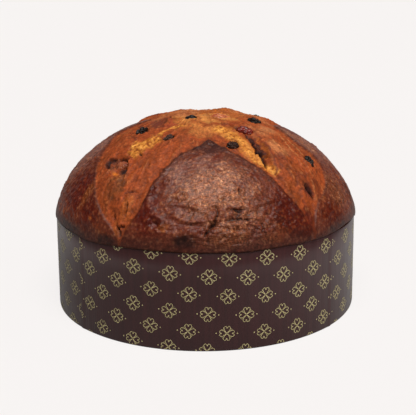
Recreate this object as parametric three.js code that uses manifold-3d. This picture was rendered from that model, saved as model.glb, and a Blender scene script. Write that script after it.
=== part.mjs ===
// A low, wide panettone baked in its paper case.
//
// The loaf is one solid: a straight body that fills the case, and a domed crust that rests on the rim. A
// cross was cut in the dough, so the crust has four dark petals and, between them, four rays where paler
// dough has torn open. Raisins and candied peel sit in sockets in the crust. The case is one thin cup of
// overlapping paper strips.
//
// Millimetres, +Z up. The origin is the middle of the case's underside. Azimuths are in degrees: 0 faces
// -Y, 90 faces +X. A place on the crust is given as [azimuth, arc], arc being the way down from the top
// along the dome.

import * as THREE from 'three';
import Module from 'manifold-3d';
import { mergeVertices } from 'three/addons/utils/BufferGeometryUtils.js';

const wasm = await Module();
wasm.setup();

// Driving dimensions

const CASE_RADIUS = 107.5; // outside, at the rim
const CASE_FLARE = 1.0; // how much wider the case is at its foot
const CASE_HEIGHT = 65;
const CASE_WALL = 1.0;
const CASE_FLOOR = 1.2;
const CASE_FOOT_CHAMFER = 0.8;
const CASE_SIDES = 90;
const FRONT_STRIP_END = 50; // azimuths where strips end
const REAR_STRIP_END = 178;
const SEAM_WIDTH = 0.3;
const STRIP_LIFT = 0.5; // a strip's free end lies this much outside the strip under it
const STRIP_EASE = 8; // degrees over which that end comes back to the wall
const GAP = 0.3; // air between pieces that touch
const BODY_GAP = 0.4; // air between the loaf's body and the case's wall
const BODY_CHAMFER = 4; // round the loaf's underside

const DOME_RADIUS = 108.07;
const DOME_FOOT = 65.9; // height at which the dome begins
const DOME_RISE = 68.5;
const DOME_SHARPNESS = 1.32; // exponents of the dome's meridian
const DOME_FULLNESS = 0.933;
const DOME_RINGS = 34; // ring n has 6 n corners
const MERIDIAN_STEPS = 800;

const NOISE_SEED = 4.7;

// The petals' outlines, from one foot over the tip to the other foot, as [azimuth, arc]

const PETALS = {
  front: [
    [-29.9, 138.2], [-28.3, 128.4], [-24.7, 114.5], [-23, 97.6], [-19.4, 82.6], [-12.3, 67.8],
    [-4.2, 60.5], [-0.6, 56.4], [3.3, 52.4], [6.9, 57.2], [11.1, 62.4], [20.1, 75], [28.1, 87],
    [32.3, 101.9], [36.6, 117.9], [40.1, 138.6],
  ],
  right: [
    [40.1, 138.6], [42.1, 124.9], [46.3, 117.1], [56.9, 108.2], [64.9, 96.4], [69.1, 84.5],
    [67.2, 71.6], [74.5, 59.8], [83.5, 50], [92.5, 52.6], [96, 57.6], [104, 67.6], [110, 81.6],
    [115, 95.6], [121, 109.6], [129, 123.6], [134.5, 138.6],
  ],
  back: [
    [134.5, 138.6], [139, 125.6], [147, 113.6], [154, 99.6], [159, 85.6], [165, 69.6], [173, 56.6],
    [182, 49.6], [191, 57.6], [198, 71.6], [203, 87.6], [209, 101.6], [217, 115.6], [223, 127.6],
    [225, 138.6],
  ],
  left: [
    [225, 138.6], [229, 127.6], [235, 113.6], [241, 100.6], [246, 85.6], [250, 69.6], [255, 53.6],
    [262, 40.6], [267, 40.6], [271, 52.6], [274.7, 64.1], [287.2, 74.3], [300.7, 92.8],
    [311.4, 107.6], [320.6, 120.5], [328.2, 131.4], [330.1, 138.2],
  ],
};
const PETAL_STEP = 1.4; // the petals' skin stands this much above the torn dough beside it
const PETAL_LIP = 0.6;
const TORN_RISE = 1.8; // and away from their edges the torn dough rises again by this much
const TORN_ROUGHNESS = 0.9;
const CRUST_WAVINESS = 0.5;
const RIM_FADES_FROM = 125.5; // the arc from which the relief fades into the rim's own bulge
const RIM_BULGE = 0.3;
const BULGE_WAVES = 14;
const BULGE_REACH = 20; // over which the rim's bulge begins, above that arc
const RIM_LIFT = 0.7; // the most that the crust stands off the case's rim
const RIM_WAVES = 9;
const RIM_ROUNDING = 0.4; // by which the crust turns in under its widest line
const LEFT_BULGE = { azimuth: 275, halfWidth: 45, height: 0.4 };

// Torn edges: the dough on the side of greater azimuth rides up over a crack

const RIDGES = [
  {
    path: [[39.2, 48], [39.3, 60.2], [37.1, 69.2], [33.7, 83.1], [33.8, 95.5], [36.5, 112], [39.6, 124.9]],
    rise: 2.2,
    crack: 2.8,
  },
  {
    path: [[196, 20.2], [214, 37.6], [224, 59.6], [229, 81.6], [226, 101.6], [225, 119.6]],
    rise: 1.8,
    crack: 2.2,
  },
];
const RIDGE_REACH = 16;
const RIDGE_FACE = 3;
const CRACK_OFFSET = 5.5;
const CRACK_WIDTH = 3.8;

// Swellings of the crust, and with a height below zero bowls torn in it, as place, radius and height

const SWELLINGS = [
  { at: [312.9, 83.7], radius: 8, height: -5 },
  { at: [128, 71.6], radius: 7, height: -3.5 },
  { at: [44.6, 106.1], radius: 4.5, height: -2.5 },
  { at: [145, 27], radius: 7, height: 2.2 },
  { at: [116, 38], radius: 7, height: -1.2 },
  { at: [300, 27.6], radius: 14, height: 0.8 },
  { at: [4.9, 97.7], radius: 34, height: 1.0 },
  { at: [317.4, 109.5], radius: 16, height: 1.6 },
  { at: [52.4, 82.3], radius: 20, height: 1.4 },
  { at: [180, 93.6], radius: 30, height: 1.0 },
  { at: [273, 90], radius: 26, height: 1.3 },
];

// Folds across the lower front and back of the crust, parallel to the rim: half-width in degrees, the
// rest in millimetres

const FOLDS = [
  { at: [5.8, 119.7], halfWidth: 24, halfHeight: 15, pitch: 8.5, height: 0.55 },
  { at: [186, 117.6], halfWidth: 26, halfHeight: 15, pitch: 8.5, height: 0.5 },
];
const FOLD_WAVER = 2.5;
const FOLD_WAVER_SIZE = 14;

// Fruit: its place, size, turn about the crust's normal and how far it stands proud

const RAISINS = [
  { at: [302.4, 51.6], size: [10.5, 8, 6.5], turn: 35, proud: 2.2 },
  { at: [330.6, 20], size: [10, 7.5, 6], turn: 5, proud: 1.2 },
  { at: [332.4, 53], size: [9.5, 6.5, 6], turn: 40, proud: 1.4 },
  { at: [18.2, 61], size: [9, 7.5, 6], turn: 10, proud: 2 },
  { at: [66.9, 37.6], size: [11, 7.5, 6], turn: -25, proud: 2.2 },
  { at: [56.1, 88.6], size: [10.5, 7, 6], turn: -50, proud: 1.6 },
  { at: [134, 56], size: [10, 7.5, 6], turn: 60, proud: 2 },
  { at: [170, 40], size: [9.5, 7, 6], turn: -15, proud: 1.4 },
  { at: [226, 60], size: [10.5, 7.5, 6], turn: 20, proud: 1.8 },
  { at: [141, 93.6], size: [10, 7, 6], turn: -60, proud: 1.6 },
];
const PEEL = [
  { at: [38, 17.5], size: [15, 8.5, 6], turn: 0, proud: 1 },
  { at: [35.1, 47.4], size: [13, 9, 7], turn: -12, proud: 2.2 },
  { at: [316.6, 85], size: [9.5, 8.5, 7], turn: 30, proud: 2 },
  { at: [214, 69.6], size: [13, 8.5, 6.5], turn: -30, proud: 1.8 },
];
const FRUIT_WRINKLE = 0.10;

// Small helpers

const radians = THREE.MathUtils.degToRad;
const bell = (x, width) => Math.exp(-((x / width) ** 2));
const step = (low, high, x) => THREE.MathUtils.smoothstep(x, low, high);

/** The plane of azimuth and arc: a map of the crust seen from above, in millimetres. */
function onMap([azimuth, arc]) {
  return new THREE.Vector2(arc * Math.sin(radians(azimuth)), -arc * Math.cos(radians(azimuth)));
}

/** Smooth noise from -1 to 1, the same on every run. */
function noise(x, y) {
  const hash = (i, j) => {
    const value = Math.sin(i * 127.1 + j * 311.7 + NOISE_SEED) * 43758.5453;
    return 2 * (value - Math.floor(value)) - 1;
  };
  const i = Math.floor(x);
  const j = Math.floor(y);
  const u = step(0, 1, x - i);
  const v = step(0, 1, y - j);
  const low = hash(i, j) * (1 - u) + hash(i + 1, j) * u;
  const high = hash(i, j + 1) * (1 - u) + hash(i + 1, j + 1) * u;
  return low * (1 - v) + high * v;
}

/** The shortest way from one azimuth to another, in degrees. */
function turnBetween(from, to) {
  return ((((to - from) % 360) + 540) % 360) - 180;
}

/** Noise round the loaf, with a given number of waves to the turn. */
function noiseRound(azimuth, waves) {
  const reach = waves / Math.PI;
  return noise(reach * Math.cos(radians(azimuth)) + waves, reach * Math.sin(radians(azimuth)));
}

/** How far a point is from a line of points, on which side, and how far along, from 0 to 1. */
function nearestOn(points, at) {
  const found = { distance: Infinity, side: 1, along: 0 };
  for (let n = 0; n + 1 < points.length; n += 1) {
    const way = points[n + 1].clone().sub(points[n]);
    const from = at.clone().sub(points[n]);
    const share = THREE.MathUtils.clamp(from.dot(way) / way.lengthSq(), 0, 1);
    const distance = from.clone().addScaledVector(way, -share).length();
    if (distance < found.distance) {
      found.distance = distance;
      found.side = Math.sign(way.cross(from)) || 1;
      found.along = (n + share) / (points.length - 1);
    }
  }
  return found;
}

/** A smooth line through places on the crust, on its map. */
function lineOnMap(places, pieces) {
  return new THREE.SplineCurve(places.map(onMap)).getPoints(pieces);
}

const petalLines = Object.values(PETALS).map((outline) => lineOnMap(outline, 40));
const ridgeLines = RIDGES.map((ridge) => lineOnMap(ridge.path, 20));

/** Millimetres into the nearest petal, negative outside every petal. */
function depthInPetal(at) {
  let deepest = -Infinity;
  for (const line of petalLines) {
    const { distance, side } = nearestOn(line, at);
    // Each outline runs with the petal on its right.
    deepest = Math.max(deepest, side < 0 ? distance : -distance);
  }
  return deepest;
}

/** The crust's rise along a ridge and fall along the crack beside it. */
function ridgeHeight({ rise, crack }, line, at) {
  const { distance, side, along } = nearestOn(line, at);
  const beside = side * distance + CRACK_OFFSET;
  const over = side > 0 ? Math.exp(-distance / RIDGE_REACH) : bell(distance, RIDGE_FACE);
  return rise * over * step(0, 0.15, along) * step(0, 0.4, 1 - along)
    - crack * bell(beside, CRACK_WIDTH) * step(0, 0.15, along) * step(0.3, 0.6, 1 - along);
}

/** Folds parallel to the rim, strongest in their middle. */
function foldHeight(fold, azimuth, arc, at) {
  const across = turnBetween(fold.at[0], azimuth);
  const inside = bell(across, fold.halfWidth) * bell(arc - fold.at[1], fold.halfHeight);
  const waver = FOLD_WAVER * noise(at.x / FOLD_WAVER_SIZE, at.y / FOLD_WAVER_SIZE);
  return fold.height * inside * Math.cos((2 * Math.PI * (arc + waver)) / fold.pitch);
}

/** How far the crust stands off the smooth dome at a place. */
function relief(azimuth, arc) {
  const at = onMap([azimuth, arc]);
  const inPetal = depthInPetal(at);
  let height = PETAL_STEP * (step(-1, 2.5, inPetal) - 1) + PETAL_LIP * bell(inPetal - 3, 2.5);
  height += TORN_RISE * step(3, 16, -inPetal);
  height += TORN_ROUGHNESS * step(0, 6, -inPetal) * noise(at.x / 9, at.y / 9);
  height += CRUST_WAVINESS * noise(at.x / 22, at.y / 22);
  RIDGES.forEach((ridge, n) => {
    height += ridgeHeight(ridge, ridgeLines[n], at);
  });
  for (const swelling of SWELLINGS) {
    height += swelling.height * bell(at.distanceTo(onMap(swelling.at)), swelling.radius);
  }
  for (const fold of FOLDS) height += foldHeight(fold, azimuth, arc, at);

  const left = LEFT_BULGE.height * bell(turnBetween(LEFT_BULGE.azimuth, azimuth), LEFT_BULGE.halfWidth);
  const bulge = RIM_BULGE * (0.5 + 0.5 * noiseRound(azimuth, BULGE_WAVES)) + left;
  const toRim = step(RIM_FADES_FROM, DOME_ARC, arc);
  return height * (1 - toRim) + bulge * step(RIM_FADES_FROM - BULGE_REACH, DOME_ARC - BULGE_REACH / 4, arc);
}

// The dome's meridian, as a table from the top down

const meridian = [];
for (let n = 0; n <= MERIDIAN_STEPS; n += 1) {
  const climb = ((MERIDIAN_STEPS - n) / MERIDIAN_STEPS) * (Math.PI / 2);
  const radius = DOME_RADIUS * Math.max(Math.cos(climb), 0) ** DOME_FULLNESS;
  const height = DOME_FOOT + DOME_RISE * Math.sin(climb) ** DOME_SHARPNESS;
  const last = meridian[n - 1];
  const arc = last ? last.arc + Math.hypot(radius - last.radius, height - last.height) : 0;
  meridian.push({ arc, radius, height });
}
const DOME_ARC = meridian[MERIDIAN_STEPS].arc;

/** The smooth dome's point and outward normal at a place. */
function onDome(azimuth, arc) {
  let n = 1;
  while (n < MERIDIAN_STEPS && meridian[n].arc < arc) n += 1;
  const [above, below] = [meridian[n - 1], meridian[n]];
  const share = (arc - above.arc) / (below.arc - above.arc);
  const radius = above.radius + share * (below.radius - above.radius);
  const height = above.height + share * (below.height - above.height);
  const slope = Math.atan2(above.height - below.height, below.radius - above.radius);
  const [x, y] = [Math.sin(radians(azimuth)), -Math.cos(radians(azimuth))];
  return {
    point: new THREE.Vector3(radius * x, radius * y, height),
    normal: new THREE.Vector3(x * Math.sin(slope), y * Math.sin(slope), Math.cos(slope)),
  };
}

/** The crust's own point at a place, with its relief. */
function onCrust(azimuth, arc) {
  const { point, normal } = onDome(azimuth, arc);
  return point.addScaledVector(normal, relief(azimuth, arc));
}

/** The case's outer radius, without the strips' lifted ends. */
function caseRadius(height) {
  return CASE_RADIUS + CASE_FLARE * (1 - height / CASE_HEIGHT);
}

/** A closed geometry from corners and triangles. */
function geometryOf(corners, triangles) {
  const geometry = new THREE.BufferGeometry();
  const places = corners.flatMap((corner) => [corner.x, corner.y, corner.z]);
  geometry.setAttribute('position', new THREE.Float32BufferAttribute(places, 3));
  geometry.setIndex(triangles.flat());
  geometry.computeVertexNormals();
  return geometry;
}

/** The crust as a disc of rings, the body below it, and a flat underside. */
function loafGeometry() {
  const corners = [onCrust(0, 0)];
  const triangles = [];
  const firstOf = (ring) => (ring === 0 ? 0 : 1 + 3 * ring * (ring - 1));
  for (let ring = 1; ring <= DOME_RINGS; ring += 1) {
    for (let n = 0; n < 6 * ring; n += 1) {
      corners.push(onCrust((60 * n) / ring, (DOME_ARC * ring) / DOME_RINGS));
    }
    const inner = (n) => firstOf(ring - 1) + (ring === 1 ? 0 : n % (6 * (ring - 1)));
    const outer = (n) => firstOf(ring) + (n % (6 * ring));
    for (let sextant = 0; sextant < 6; sextant += 1) {
      for (let n = 0; n < ring; n += 1) {
        const [i, o] = [sextant * (ring - 1) + n, sextant * ring + n];
        triangles.push([inner(i), outer(o), outer(o + 1)]);
        if (n + 1 < ring) triangles.push([inner(i), outer(o + 1), inner(i + 1)]);
      }
    }
  }

  const around = 6 * DOME_RINGS;
  const clear = CASE_WALL + BODY_GAP;
  const rimAt = (azimuth) => CASE_HEIGHT + GAP + RIM_LIFT * Math.max(0, noiseRound(azimuth, RIM_WAVES));
  const bodyRings = [
    (azimuth) => [DOME_RADIUS - RIM_ROUNDING, rimAt(azimuth)],
    (azimuth) => [caseRadius(CASE_HEIGHT) - clear, rimAt(azimuth)],
    () => [caseRadius(CASE_FLOOR + BODY_CHAMFER) - clear, CASE_FLOOR + BODY_CHAMFER],
    () => [caseRadius(CASE_FLOOR) - clear - BODY_CHAMFER, CASE_FLOOR + GAP],
  ];
  let above = firstOf(DOME_RINGS);
  for (const ringAt of bodyRings) {
    const below = corners.length;
    for (let n = 0; n < around; n += 1) {
      const azimuth = (360 * n) / around;
      const [radius, height] = ringAt(azimuth);
      const turn = radians(azimuth);
      corners.push(new THREE.Vector3(radius * Math.sin(turn), -radius * Math.cos(turn), height));
    }
    for (let n = 0; n < around; n += 1) {
      const next = (n + 1) % around;
      triangles.push([above + n, below + n, below + next], [above + n, below + next, above + next]);
    }
    above = below;
  }
  corners.push(new THREE.Vector3(0, 0, CASE_FLOOR + GAP));
  const middle = corners.length - 1;
  for (let n = 0; n < around; n += 1) triangles.push([middle, above + ((n + 1) % around), above + n]);
  return geometryOf(corners, triangles);
}

/** A wrinkled fruit in place on the crust, made larger all over by a margin. */
function fruitGeometry({ at, size, turn, proud }, margin) {
  const geometry = new THREE.IcosahedronGeometry(1, 1);
  const place = geometry.getAttribute('position');
  const corner = new THREE.Vector3();
  for (let n = 0; n < place.count; n += 1) {
    corner.fromBufferAttribute(place, n);
    const folds = noise(2.1 * corner.x + at[0], 2.1 * corner.y + 3 * corner.z + at[1]);
    const reach = 1 + FRUIT_WRINKLE * folds;
    corner.set(...size.map((length, axis) => corner.getComponent(axis) * ((reach * length) / 2 + margin)));
    place.setXYZ(n, corner.x, corner.y, corner.z);
  }
  const { point, normal } = onDome(...at);
  const upright = new THREE.Quaternion().setFromUnitVectors(new THREE.Vector3(0, 0, 1), normal);
  const turned = new THREE.Quaternion().setFromAxisAngle(new THREE.Vector3(0, 0, 1), radians(turn));
  const middle = point.addScaledVector(normal, relief(...at) + proud - size[2] / 2);
  geometry.applyQuaternion(upright.multiply(turned));
  geometry.translate(middle.x, middle.y, middle.z);
  return geometry;
}

/** A closed geometry as a solid that can be joined and cut. */
function solidOf(geometry) {
  const bare = geometry.clone();
  bare.deleteAttribute('normal');
  bare.deleteAttribute('uv');
  const merged = mergeVertices(bare, 1e-4);
  const vertProperties = new Float32Array(merged.getAttribute('position').array);
  const triVerts = new Uint32Array(merged.index.array);
  return new wasm.Manifold(new wasm.Mesh({ numProp: 3, vertProperties, triVerts }));
}

/** A solid back as a geometry. */
function geometryFrom(solid) {
  const mesh = solid.getMesh();
  const geometry = new THREE.BufferGeometry();
  geometry.setAttribute('position', new THREE.BufferAttribute(new Float32Array(mesh.vertProperties), 3));
  geometry.setIndex(new THREE.BufferAttribute(new Uint32Array(mesh.triVerts), 1));
  geometry.computeVertexNormals();
  return geometry;
}

/** The paper cup: three strips round a flat base, the front strip outside its neighbours at both ends. */
function caseGeometry() {
  const azimuths = [];
  for (let n = 0; n < CASE_SIDES; n += 1) azimuths.push(-180 + (360 * n) / CASE_SIDES);
  for (const seam of [-FRONT_STRIP_END, FRONT_STRIP_END, REAR_STRIP_END]) {
    azimuths.push(seam - SEAM_WIDTH / 2, seam + SEAM_WIDTH / 2);
  }
  azimuths.sort((a, b) => a - b);

  const lift = (azimuth) => {
    const fromFront = FRONT_STRIP_END - Math.abs(azimuth);
    const fromRear = REAR_STRIP_END - azimuth;
    const front = fromFront > 0 ? step(0, STRIP_EASE, STRIP_EASE - fromFront) : 0;
    const rear = fromRear > 0 && azimuth > FRONT_STRIP_END ? step(0, STRIP_EASE, STRIP_EASE - fromRear) : 0;
    return STRIP_LIFT * (front + rear);
  };
  const fillet = CASE_FLOOR + 2.5;
  const outline = [
    { height: 0, radius: caseRadius(0) - CASE_FOOT_CHAMFER, lifts: 0 },
    { height: CASE_FOOT_CHAMFER, radius: caseRadius(0), lifts: 1 },
    { height: CASE_HEIGHT / 2, radius: caseRadius(CASE_HEIGHT / 2), lifts: 1 },
    { height: CASE_HEIGHT, radius: caseRadius(CASE_HEIGHT), lifts: 1 },
    { height: CASE_HEIGHT, radius: caseRadius(CASE_HEIGHT) - CASE_WALL, lifts: 0 },
    { height: fillet, radius: caseRadius(fillet) - CASE_WALL, lifts: 0 },
    { height: CASE_FLOOR, radius: caseRadius(CASE_FLOOR) - CASE_WALL - CASE_FLOOR, lifts: 0 },
  ];
  const corners = [];
  for (const { height, radius, lifts } of outline) {
    for (const azimuth of azimuths) {
      const reach = radius + lifts * lift(azimuth);
      const turn = radians(azimuth);
      corners.push(new THREE.Vector3(reach * Math.sin(turn), -reach * Math.cos(turn), height));
    }
  }
  const around = azimuths.length;
  const triangles = [];
  for (let ring = 0; ring + 1 < outline.length; ring += 1) {
    for (let n = 0; n < around; n += 1) {
      const [a, b] = [ring * around + n, ring * around + ((n + 1) % around)];
      triangles.push([a, b, b + around], [a, b + around, a + around]);
    }
  }
  const under = corners.push(new THREE.Vector3(0, 0, 0)) - 1;
  const inside = corners.push(new THREE.Vector3(0, 0, CASE_FLOOR)) - 1;
  const lastRing = (outline.length - 1) * around;
  for (let n = 0; n < around; n += 1) {
    const next = (n + 1) % around;
    triangles.push([under, next, n], [inside, lastRing + n, lastRing + next]);
  }
  return geometryOf(corners, triangles);
}

// Materials

const crust = new THREE.MeshStandardMaterial({ color: 0x7a3a18, roughness: 0.55, metalness: 0 });
const raisin = new THREE.MeshStandardMaterial({ color: 0x1c1512, roughness: 0.5, metalness: 0 });
const peel = new THREE.MeshStandardMaterial({ color: 0xa8441c, roughness: 0.4, metalness: 0 });
const paper = new THREE.MeshStandardMaterial({ color: 0x43302f, roughness: 0.45, metalness: 0 });

// The pieces

const panettone = new THREE.Group();

function add(name, geometry, material) {
  const mesh = new THREE.Mesh(geometry, material);
  mesh.name = name;
  panettone.add(mesh);
}

let loaf = solidOf(loafGeometry());
const fruit = [
  ...RAISINS.map((piece, n) => ({ name: `raisin_${n + 1}`, piece, material: raisin })),
  ...PEEL.map((piece, n) => ({ name: `candied_peel_${n + 1}`, piece, material: peel })),
];
for (const { name, piece, material } of fruit) {
  loaf = loaf.subtract(solidOf(fruitGeometry(piece, GAP)));
  add(name, fruitGeometry(piece, 0), material);
}
add('loaf', geometryFrom(loaf), crust);
add('paper_case', caseGeometry(), paper);

export default panettone;
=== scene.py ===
"""The looks of a low, wide panettone baked in its printed paper case.

Lengths are in millimetres and azimuths in degrees (0 faces -Y, 90 faces +X) until a mesh is made, in metres.
A place on the crust is (azimuth, arc), arc being the way down from the top along the dome. The crust's map is
the plane with those polar coordinates: the dome rolled out round its top.
"""

import math
from types import SimpleNamespace

import bpy
import numpy as np
from mathutils import Matrix, Vector, noise


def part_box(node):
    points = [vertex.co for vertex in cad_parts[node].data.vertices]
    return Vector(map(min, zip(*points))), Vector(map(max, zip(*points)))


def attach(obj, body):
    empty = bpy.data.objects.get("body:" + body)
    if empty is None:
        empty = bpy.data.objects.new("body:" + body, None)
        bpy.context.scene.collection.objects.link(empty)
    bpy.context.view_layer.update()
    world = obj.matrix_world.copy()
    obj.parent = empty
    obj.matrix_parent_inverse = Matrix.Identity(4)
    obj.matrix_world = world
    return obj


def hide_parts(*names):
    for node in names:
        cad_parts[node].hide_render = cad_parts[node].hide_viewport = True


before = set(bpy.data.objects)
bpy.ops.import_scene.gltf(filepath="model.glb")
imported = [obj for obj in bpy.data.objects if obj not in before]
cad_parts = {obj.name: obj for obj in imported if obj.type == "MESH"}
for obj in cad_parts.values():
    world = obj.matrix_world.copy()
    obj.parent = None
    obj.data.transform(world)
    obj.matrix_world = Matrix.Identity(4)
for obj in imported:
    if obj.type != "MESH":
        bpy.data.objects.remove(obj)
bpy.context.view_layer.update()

MM = 0.001

# The loaf's form

DOME_RADIUS = 108.07
DOME_FOOT = 65.9
DOME_RISE = 68.5
DOME_SHARPNESS = 1.32
DOME_FULLNESS = 0.933
MERIDIAN_STEPS = 800
RINGS = 170  # ring n of the crust's mesh has 6 n corners

NOISE_SEED = 4.7
PETAL_STEP = 1.0
PETAL_LIP = 0.15
TORN_RISE = 1.8
TORN_ROUGHNESS = 0.9
CRUST_WAVINESS = 0.5
RIM_FADES_FROM = 125.5
RIM_BULGE = 0.3
BULGE_REACH = 20
LEFT_BULGE = dict(azimuth=275, half_width=45, height=-0.2)
RIDGE_REACH = 16
RIDGE_LIP = 1.4
CRACK_OFFSET = 4.2
CRACK_WIDTH = 3.0
TORN_LUMPS = 9
CRUST_WAVES = 22
FOLD_WAVES = 14

PETALS = dict(
    front=[(-29.9, 138.2), (-28.3, 128.4), (-24.7, 114.5), (-23, 97.6), (-19.4, 82.6), (-12.3, 67.8),
           (-4.2, 60.5), (-0.6, 56.4), (3.3, 52.4), (6.9, 57.2), (11.1, 62.4), (20.1, 75), (28.1, 87),
           (32.3, 101.9), (36.6, 117.9), (40.1, 138.6)],
    right=[(40.1, 138.6), (42.1, 124.9), (46.3, 117.1), (56.9, 108.2), (64.9, 96.4), (69.1, 84.5),
           (67.2, 71.6), (74.5, 59.8), (83.5, 50), (92.5, 52.6), (96, 57.6), (104, 67.6), (110, 81.6),
           (115, 95.6), (121, 109.6), (129, 123.6), (134.5, 138.6)],
    back=[(134.5, 138.6), (139, 125.6), (147, 113.6), (154, 99.6), (159, 85.6), (165, 69.6), (173, 56.6),
          (182, 49.6), (191, 57.6), (198, 71.6), (203, 87.6), (209, 101.6), (217, 115.6), (223, 127.6),
          (225, 138.6)],
    left=[(225, 138.6), (229, 127.6), (235, 113.6), (241, 100.6), (246, 85.6), (250, 69.6), (255, 53.6),
          (262, 40.6), (267, 40.6), (271, 52.6), (274.7, 64.1), (287.2, 74.3), (300.7, 92.8),
          (311.4, 107.6), (320.6, 120.5), (328.2, 131.4), (330.1, 138.2)],
)

# Torn edges, the dough on the side of greater azimuth riding up over a crack

RIDGES = [
    dict(path=[(39.2, 48), (39.3, 60.2), (37.1, 69.2), (33.7, 83.1), (33.8, 95.5), (36.5, 112),
               (39.6, 124.9)], rise=2.2, crack=1.1),
    dict(path=[(196, 20.2), (214, 37.6), (224, 59.6), (229, 81.6), (226, 101.6), (225, 119.6)],
         rise=1.8, crack=2.2),
]

# Swellings and, with a height below zero, bowls: place, radius and height

SWELLINGS = [
    ((312.9, 83.7), 8, -5), ((128, 71.6), 7, -3.5), ((44.6, 106.1), 4.5, -2.5), ((145, 27), 7, 1.4),
    ((116, 38), 7, -1.2), ((300, 27.6), 14, 0.8), ((180, 22), 48, -0.8), ((0, 0), 20, -0.8),
    ((4.9, 97.7), 34, 1.0), ((317.4, 109.5), 16, 1.6), ((52.4, 82.3), 20, 1.4), ((180, 93.6), 30, 1.0),
    ((273, 90), 26, 1.3),
]

# Folds parallel to the rim: place, half-width in degrees, half-height, pitch and height

FOLDS = [((5.8, 119.7), 24, 15, 8.5, 0.55), ((186, 117.6), 26, 15, 8.5, 0.5)]

# Wrinkled parts: place, half-width in degrees and half-height

SHRIVELLED = [((9, 120), 19, 17), ((184, 118), 22, 17)]
LEFT_WRINKLES = ((282, 95), 26, 40)

# Fruit as the solids have it: place, size and turn

RAISINS = [
    ((302.4, 51.6), (10.5, 8, 6.5), 35), ((330.6, 20), (10, 7.5, 6), 5), ((332.4, 53), (9.5, 6.5, 6), 40),
    ((18.2, 61), (9, 7.5, 6), 10), ((66.9, 37.6), (11, 7.5, 6), -25), ((56.1, 88.6), (10.5, 7, 6), -50),
    ((134, 56), (10, 7.5, 6), 60), ((170, 40), (9.5, 7, 6), -15), ((226, 60), (10.5, 7.5, 6), 20),
    ((141, 93.6), (10, 7, 6), -60),
]
PEEL = [
    ((38, 17.5), (15, 8.5, 6), 0), ((35.1, 47.4), (13, 9, 7), -12), ((316.6, 85), (9.5, 8.5, 7), 30),
    ((214, 69.6), (13, 8.5, 6.5), -30),
]

BED_LIP = 0.5
BED_DEPTH = 2.2

# Small helpers


def smooth(low, high, x):
    t = np.clip((np.asarray(x, float) - low) / (high - low), 0, 1)
    return t * t * (3 - 2 * t)


def bell(x, width):
    return np.exp(-(np.asarray(x, float) / width) ** 2)


def turn_between(start, end):
    return (np.asarray(end, float) - start + 540) % 360 - 180


def linear(code):
    """A colour written as RRGGBB, in linear light."""
    parts = np.array([int(code[n:n + 2], 16) for n in (0, 2, 4)]) / 255
    return np.where(parts <= 0.04045, parts / 12.92, ((parts + 0.055) / 1.055) ** 2.4)


def on_map(azimuth, arc):
    turn = np.radians(azimuth)
    return np.stack([arc * np.sin(turn), -arc * np.cos(turn)], -1)


def hashed(i, j):
    value = np.sin(i * 127.1 + j * 311.7 + NOISE_SEED) * 43758.5453
    return 2 * (value - np.floor(value)) - 1


def plane_noise(x, y):
    """The solids' own noise, from -1 to 1."""
    i, j = np.floor(x), np.floor(y)
    u, v = smooth(0, 1, x - i), smooth(0, 1, y - j)
    low = hashed(i, j) * (1 - u) + hashed(i + 1, j) * u
    high = hashed(i, j + 1) * (1 - u) + hashed(i + 1, j + 1) * u
    return low * (1 - v) + high * v


def noise_round(azimuth, waves):
    reach = waves / np.pi
    turn = np.radians(azimuth)
    return plane_noise(reach * np.cos(turn) + waves, reach * np.sin(turn))


def grain(points, scale, seed):
    """Solid noise of a given size at points, about -1 to 1."""
    spots = np.asarray(points, float) / scale + seed * 13.7
    return np.array([noise.noise(spot, noise_basis="PERLIN_ORIGINAL") for spot in spots])


def spline(knots, pieces):
    """A Catmull-Rom line through knots."""
    knots = np.asarray(knots, float)
    last = len(knots) - 1
    t = np.linspace(0, last, pieces + 1)
    n = np.minimum(t.astype(int), last - 1)
    w = (t - n)[:, None]
    a, b, c, d = knots[np.maximum(n - 1, 0)], knots[n], knots[n + 1], knots[np.minimum(n + 2, last)]
    v0, v1 = (c - a) / 2, (d - b) / 2
    return (2 * b - 2 * c + v0 + v1) * w ** 3 + (3 * c - 3 * b - 2 * v0 - v1) * w ** 2 + v0 * w + b


def line_on_map(places, pieces):
    places = np.asarray(places, float)
    return spline(on_map(places[:, 0], places[:, 1]), pieces)


def nearest_on(line, at):
    """For each point its distance from a line, the side it lies on and the share of the line behind it."""
    distance = np.full(len(at), np.inf)
    side = np.ones(len(at))
    along = np.zeros(len(at))
    for n in range(len(line) - 1):
        way = line[n + 1] - line[n]
        start = at - line[n]
        share = np.clip(start @ way / (way @ way), 0, 1)
        found = np.linalg.norm(start - share[:, None] * way, axis=1)
        closer = found < distance
        distance[closer] = found[closer]
        side[closer] = np.where(way[0] * start[closer, 1] - way[1] * start[closer, 0] < 0, -1, 1)
        along[closer] = (n + share[closer]) / (len(line) - 1)
    return distance, side, along


def round_axis(radius, turn, height):
    """Points at a radius, a turn in radians and a height."""
    return np.stack(np.broadcast_arrays(radius * np.sin(turn), -radius * np.cos(turn), height), -1)


def new_object(name, corners, faces, smooth_shading=True):
    """A mesh object from corners in millimetres."""
    mesh = bpy.data.meshes.new(name)
    mesh.from_pydata((np.asarray(corners, float) * MM).tolist(), [], [list(face) for face in faces])
    mesh.polygons.foreach_set("use_smooth", [smooth_shading] * len(mesh.polygons))
    mesh.update()
    piece = bpy.data.objects.new(name, mesh)
    bpy.context.scene.collection.objects.link(piece)
    return piece


# The dome


def make_meridian():
    """Arc, radius and height of the dome's meridian, from the top down."""
    climb = np.linspace(1, 0, MERIDIAN_STEPS + 1) * np.pi / 2
    radius = DOME_RADIUS * np.maximum(np.cos(climb), 0) ** DOME_FULLNESS
    height = DOME_FOOT + DOME_RISE * np.sin(climb) ** DOME_SHARPNESS
    arc = np.concatenate([[0], np.cumsum(np.hypot(np.diff(radius), np.diff(height)))])
    return arc, radius, height


MERIDIAN = make_meridian()
DOME_ARC = MERIDIAN[0][-1]


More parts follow.
